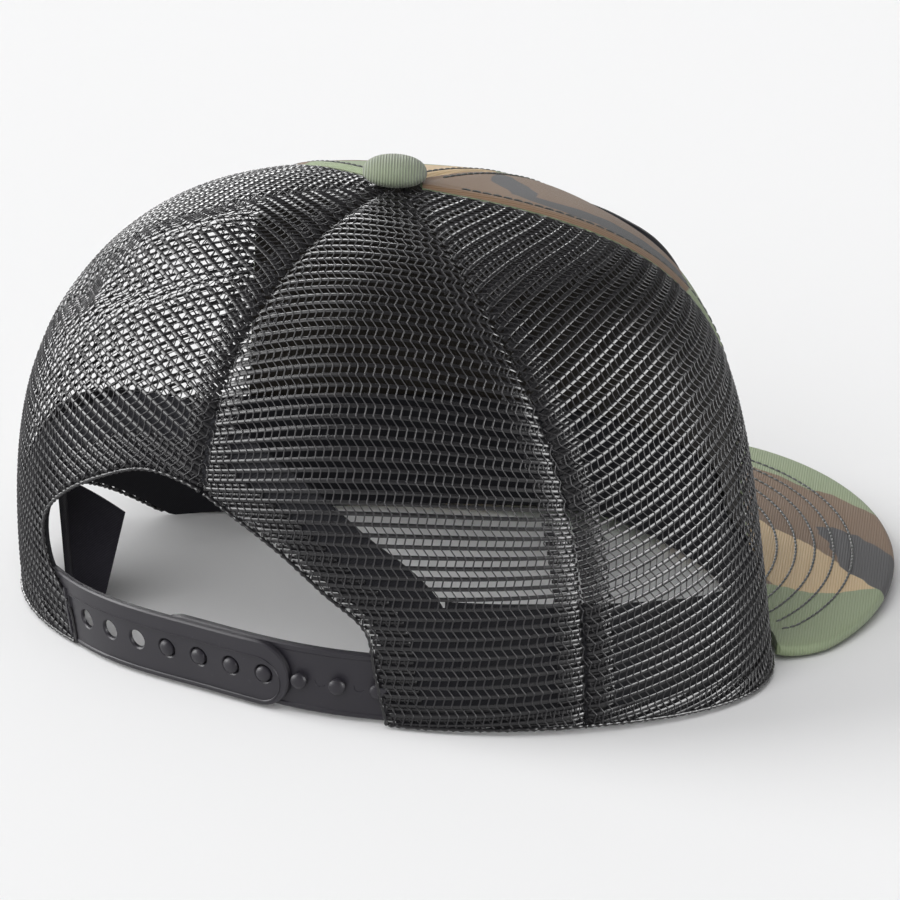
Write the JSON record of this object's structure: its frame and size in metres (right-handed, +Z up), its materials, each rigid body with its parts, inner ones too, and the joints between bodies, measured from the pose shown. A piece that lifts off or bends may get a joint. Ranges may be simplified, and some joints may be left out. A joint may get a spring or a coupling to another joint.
{
  "type": "trucker cap",
  "caption": "Cloth and mesh cap with a flat peak, a covered top button, an arched back opening and a plastic snap strap.",
  "frame": {"origin": "centre of the cap's bounding box at the height of the surface that it rests on", "axes": "-Y toward the tip of the peak, the wearer's front; +X toward the wearer's left; +Z up through the crown"},
  "size_m": [0.1924, 0.238, 0.1167],
  "materials": {
    "camo_cloth": "matt printed cotton twill in green, brown, sand and charcoal blotches",
    "black_mesh": "slightly glossy stiff synthetic mesh",
    "black_cloth": "matt black woven cloth",
    "sage_cloth": "matt ribbed cloth, sage green",
    "strap_plastic": "satin dark grey plastic"
  },
  "bodies": {
    "root": {"front_panel_right": "camo_cloth", "front_panel_left": "camo_cloth", "side_mesh_right": "black_mesh", "side_mesh_left": "black_mesh", "back_mesh_right": "black_mesh", "back_mesh_left": "black_mesh", "peak": "camo_cloth", "front_patch": "black_cloth", "sweatband": "black_cloth", "arch_tape": "black_cloth", "top_button": "sage_cloth", "strap_with_holes": "strap_plastic", "strap_with_studs": "strap_plastic", "care_label": "black_cloth"}
  },
  "joints": []
}
